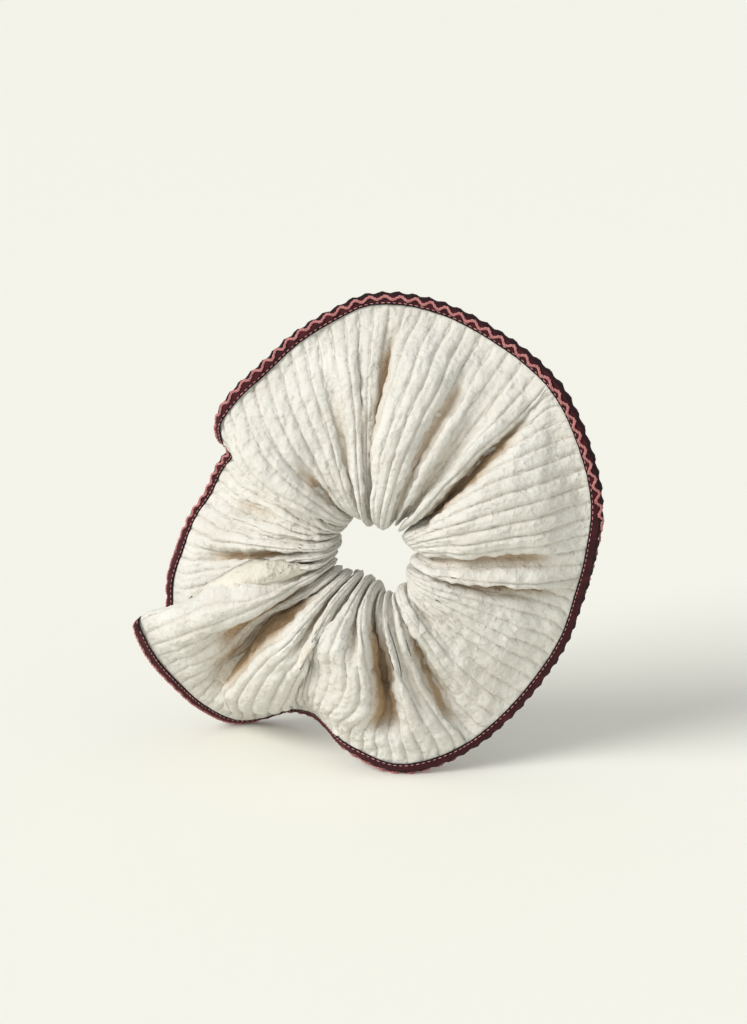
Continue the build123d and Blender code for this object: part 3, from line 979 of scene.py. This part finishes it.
# %% The stitch tree
def stitch_tree():
    tree, start, end = node_tree("stitches_on_points", [
        ("Stitch Length", "NodeSocketFloat", 0.0012), ("Thread Radius", "NodeSocketFloat", 0.00015),
        ("Unevenness", "NodeSocketFloat", 0.15), ("Seed", "NodeSocketInt", 5),
        ("Material", "NodeSocketMaterial", None)])
    given = start.outputs
    points = new_node(tree, "GeometryNodeMeshToPoints", Mesh=given["Geometry"])
    bead = new_node(tree, "GeometryNodeMeshUVSphere", Segments=6, Rings=4, Radius=1.0)
    half_length = maths_node(tree, "MULTIPLY", given["Stitch Length"], 0.5)
    size = new_node(tree, "ShaderNodeCombineXYZ", X=half_length, Y=given["Thread Radius"],
                    Z=given["Thread Radius"])
    shape = new_node(tree, "GeometryNodeTransform", Geometry=bead.outputs["Mesh"],
                     Scale=size.outputs["Vector"])
    turns = []
    for label, axis in (("outwards", "Z"), ("along", "X")):
        way = tree.nodes.new("GeometryNodeInputNamedAttribute")
        way.data_type = "FLOAT_VECTOR"
        way.inputs["Name"].default_value = label
        turn = new_node(tree, "FunctionNodeAlignRotationToVector", Vector=way.outputs["Attribute"])
        turn.axis = axis
        turns.append(turn)
    turns[1].pivot_axis = "Z"
    tree.links.new(turns[0].outputs["Rotation"], turns[1].inputs["Rotation"])
    random = new_node(tree, "FunctionNodeRandomValue", Seed=given["Seed"])
    limits = [socket for socket in random.inputs if socket.type == "VALUE"]
    for socket, how in zip(limits, ("SUBTRACT", "ADD")):
        tree.links.new(maths_node(tree, how, 1.0, given["Unevenness"]), socket)
    scale = next(socket for socket in random.outputs if socket.type == "VALUE")
    place = new_node(tree, "GeometryNodeInstanceOnPoints", Points=points.outputs["Points"],
                     Instance=shape.outputs["Geometry"], Rotation=turns[1].outputs["Rotation"], Scale=scale)
    return finish_tree(tree, start, end, place.outputs["Instances"])


def points_mesh(name, points, along, outwards):
    """A mesh of points from lists of arrays, with the two ways that the stitch tree reads."""
    mesh = bpy.data.meshes.new(name)
    mesh.from_pydata(np.concatenate(points).tolist(), [], [])
    for label, ways in (("along", along), ("outwards", outwards)):
        attribute = mesh.attributes.new(label, "FLOAT_VECTOR", "POINT")
        attribute.data.foreach_set("vector", np.concatenate(ways).reshape(-1).astype(np.float32))
    return mesh


stitches_on_points = stitch_tree()
print("inputs:", [item.name for item in stitches_on_points.interface.items_tree])

# %% The binding's seam
STITCH_LENGTH = 1.5          # mm
BINDING_STITCH_PITCH, BINDING_SEAM_PLACE = 2.1, TAPE_HALF_WIDTH - 0.75
pink_thread = yarn_material("pink_thread", (0.62, 0.30, 0.29, 1), (0.48, 0.19, 0.19, 1), 0.2)
seam_walk = np.linspace(0, EDGE_LENGTH, round(EDGE_LENGTH / BINDING_STITCH_PITCH), endpoint=False)
seam_places, seam_ways, seam_outs = [], [], []
for side in (1, -1):
    here = np.full(len(seam_walk), side * BINDING_SEAM_PLACE)
    on_face = on_tape(seam_walk, here, 0.05)
    seam_places.append(on_face * MM + HOLE)
    seam_ways.append(unit(on_tape(seam_walk + 0.5, here, 0.05) - on_tape(seam_walk - 0.5, here, 0.05)))
    seam_outs.append(unit(on_tape(seam_walk, here, 1.0) - on_face))
binding_stitches = grown(
    "binding_stitches", points_mesh("binding_seam", seam_places, seam_ways, seam_outs),
    stitches_on_points,
    {"Stitch Length": STITCH_LENGTH * MM, "Thread Radius": 0.18 * MM, "Material": pink_thread})

# %% The quilting seams
QUILT_STITCH_PITCH = 2.2
seam_columns = np.arange(channels) * CHANNEL_COLUMNS
quilt_surface = pleated + cloth_normals * relief[:, :, None]
quilt_points, quilt_ways, quilt_outs = [], [], []
for column in seam_columns:
    line = quilt_surface[:, column]
    walked_line = running(np.linalg.norm(np.diff(line, axis=0), axis=1))
    for low, high in ((5, HALF_ROWS - 5), (HALF_ROWS + 5, 2 * HALF_ROWS - 4)):
        count = max(int((walked_line[high] - walked_line[low]) / QUILT_STITCH_PITCH), 2)
        at = np.linspace(walked_line[low], walked_line[high], count)
        spots = points_at(at, walked_line, line)
        ahead = points_at(at + 0.5, walked_line, line)
        outs = points_at(at, walked_line, cloth_normals[:, column])
        quilt_points.append((spots + 0.03 * outs) * MM + HOLE)
        quilt_ways.append(unit(ahead - spots))
        quilt_outs.append(unit(outs))
quilting_thread = yarn_material("quilting_thread", (0.80, 0.76, 0.67, 1), (0.70, 0.65, 0.55, 1), 0.1)
quilting_stitches = grown(
    "quilting_stitches", points_mesh("quilting_seams", quilt_points, quilt_ways, quilt_outs),
    stitches_on_points,
    {"Stitch Length": STITCH_LENGTH * MM, "Thread Radius": 0.13 * MM, "Material": quilting_thread})

# %% [markdown]
# ## The elastic
# The band inside is braided elastic. Its width and radius come from the CAD node: two families of
# yarns cross each other round a flat ring, over a plain core.

# %% Elastic band
elastic_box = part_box("elastic_band")
ELASTIC_WIDTH = (elastic_box[1][1] - elastic_box[0][1]) / MM
ELASTIC_OUTER = (elastic_box[1][2] - elastic_box[0][2]) / 2 / MM
ELASTIC_THICKNESS = 1.2
elastic_middle = ELASTIC_OUTER - ELASTIC_THICKNESS / 2


def round_hole(angle, radius, depth):
    return np.stack([radius * np.cos(angle), depth, radius * np.sin(angle)], -1) * MM + HOLE


CORE_STEPS, CORE_OUT, CORE_DEPTH = 120, 0.25, 2.4      # the core's half thickness and half width, mm
core_angles = np.arange(CORE_STEPS) / CORE_STEPS * 2 * math.pi
core_rows = [round_hole(core_angles, elastic_middle + CORE_OUT * x, np.full(CORE_STEPS, CORE_DEPTH * y))
             for x, y in ((1, 1), (1, -1), (-1, -1), (-1, 1))]
core_mesh = bpy.data.meshes.new("elastic_core")
core_mesh.from_pydata(np.concatenate(core_rows).tolist(), [], skin_faces(4, CORE_STEPS, 0, False).tolist())
face_outwards(core_mesh)
elastic_white = yarn_material("elastic_white", (0.82, 0.81, 0.78, 1), (0.66, 0.65, 0.62, 1), 0.1)
core_mesh.materials.append(elastic_white)
elastic_core = new_object("elastic_core", core_mesh)
YARNS, CROSSINGS, YARN_STEPS = 8, 48, 960
yarn_angle = np.arange(YARN_STEPS) / YARN_STEPS * 2 * math.pi
elastic_lines = []
for direction in (1, -1):
    for index in range(YARNS):
        phase = yarn_angle * CROSSINGS / 2 * direction + index * 2 * math.pi / YARNS
        flat = np.arcsin(np.sin(phase)) * 2 / math.pi
        face = np.where(np.cos(phase) > 0, 1, -1) * np.minimum(1, 4 * (1 - np.abs(flat)))
        over = 0.10 * np.cos(phase * YARNS) * direction
        elastic_lines.append(round_hole(yarn_angle, elastic_middle + face * 0.32 + over,
                                        flat * (ELASTIC_WIDTH / 2 - 0.3)))
elastic_yarns = grown("elastic_yarns", lines_mesh("elastic_lines", elastic_lines, True), yarns_on_lines,
                      {"Yarn Radius": 0.26 * MM, "Sides": 5, "Material": elastic_white})
for name in ("elastic_lap", "elastic_lap_stitches"):
    node = bpy.data.objects[name]
    node.data.materials.clear()
    node.data.materials.append(elastic_white if name == "elastic_lap" else pink_thread)

# %% [markdown]
# ## Which CAD part each piece stands for
# Half of the ring stays and half slides sideways, as when two hands stretch the scrunchie.
# The cloth, tape, yarns and elastic all cross from one half to the other.
# Each piece is baked into place, and the CAD parts that it stands for are hidden.

# %% Pieces and the CAD parts they hide
stands_for = [
    (quilted_cover, "cover_cotton", ("cover_left", "cover_right")),
    (quilt_wadding, "wadding", ("wadding_left", "wadding_right")),
    (quilt_lining, "lining_cotton", ("lining_left", "lining_right")),
    (edge_binding, "binding_tape", ("edge_binding_left", "edge_binding_right")),
    (wavy_braid, "braid", ("wavy_braid_left", "wavy_braid_right")),
    (binding_stitches, "pink_thread", ("binding_thread_left", "binding_thread_right")),
    (quilting_stitches, "white_thread", ()),
    (elastic_core, "elastic", ("elastic_band",)),
    (elastic_yarns, "elastic", ()),
]
for piece, slot, nodes_replaced in stands_for:
    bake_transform(piece)
    if nodes_replaced:
        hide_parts(*nodes_replaced)
print("pieces placed:", len(stands_for))
